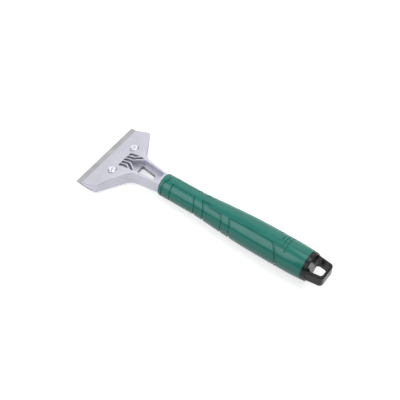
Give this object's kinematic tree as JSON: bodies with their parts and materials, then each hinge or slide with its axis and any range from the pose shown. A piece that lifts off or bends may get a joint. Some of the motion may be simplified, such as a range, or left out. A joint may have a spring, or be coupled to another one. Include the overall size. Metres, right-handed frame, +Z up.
{
  "type": "long-handled scraper",
  "caption": "Long-handled cleaning scraper: cast T-shaped head with a screw-clamped replaceable blade, ribbed neck pocket, grooved round grip and an end cap with a hanging loop.",
  "frame": {"origin": "under the middle of the tool, level with the lowest point of the grip", "axes": "+X along the handle from the blade to the hanging loop, +Y along the blade, +Z up, away from the side that lies on a table"},
  "size_m": [0.285, 0.1, 0.0348],
  "materials": {
    "cast_aluminium": "fine sand-blasted die casting",
    "blade_steel": "ground strip",
    "plate_steel": "zinc plated",
    "screw_steel": "bright nickel plated",
    "pin_steel": "spring steel",
    "core_plastic": "moulded",
    "grip_cover": "soft glossy moulding",
    "cap_plastic": "satin moulding"
  },
  "bodies": {
    "handle": {"head_casting": "cast_aluminium", "tang_pin": "pin_steel", "handle_core": "core_plastic", "grip_sleeve": "grip_cover", "end_cap": "cap_plastic"},
    "near_screw": {"clamp_screw_near": "screw_steel"},
    "far_screw": {"clamp_screw_far": "screw_steel"},
    "plate": {"clamp_plate": "plate_steel", "clamp_nuts": "screw_steel"},
    "blade": {"blade": "blade_steel"}
  },
  "joints": [
    {"name": "near_screw_turn", "type": "hinge", "parent": "handle", "child": "near_screw", "pos_m": [-0.1165, -0.02, 0.0193], "axis": [0, 0, 1], "range_deg": [0, 720]},
    {"name": "far_screw_turn", "type": "hinge", "parent": "handle", "child": "far_screw", "pos_m": [-0.1165, 0.02, 0.0193], "axis": [0, 0, 1], "range_deg": [0, 720]},
    {"name": "clamp_plate_drop", "type": "slide", "parent": "handle", "child": "plate", "axis": [0, 0, -1], "range_m": [0, 0.0014]},
    {"name": "blade_draw", "type": "slide", "parent": "handle", "child": "blade", "axis": [-1, 0, 0], "range_m": [0, 0.0135]}
  ],
  "couplings": [
    {"joint": "near_screw_turn", "follows": "clamp_plate_drop", "rad_per_m": 8976},
    {"joint": "far_screw_turn", "follows": "clamp_plate_drop", "rad_per_m": 8976}
  ]
}
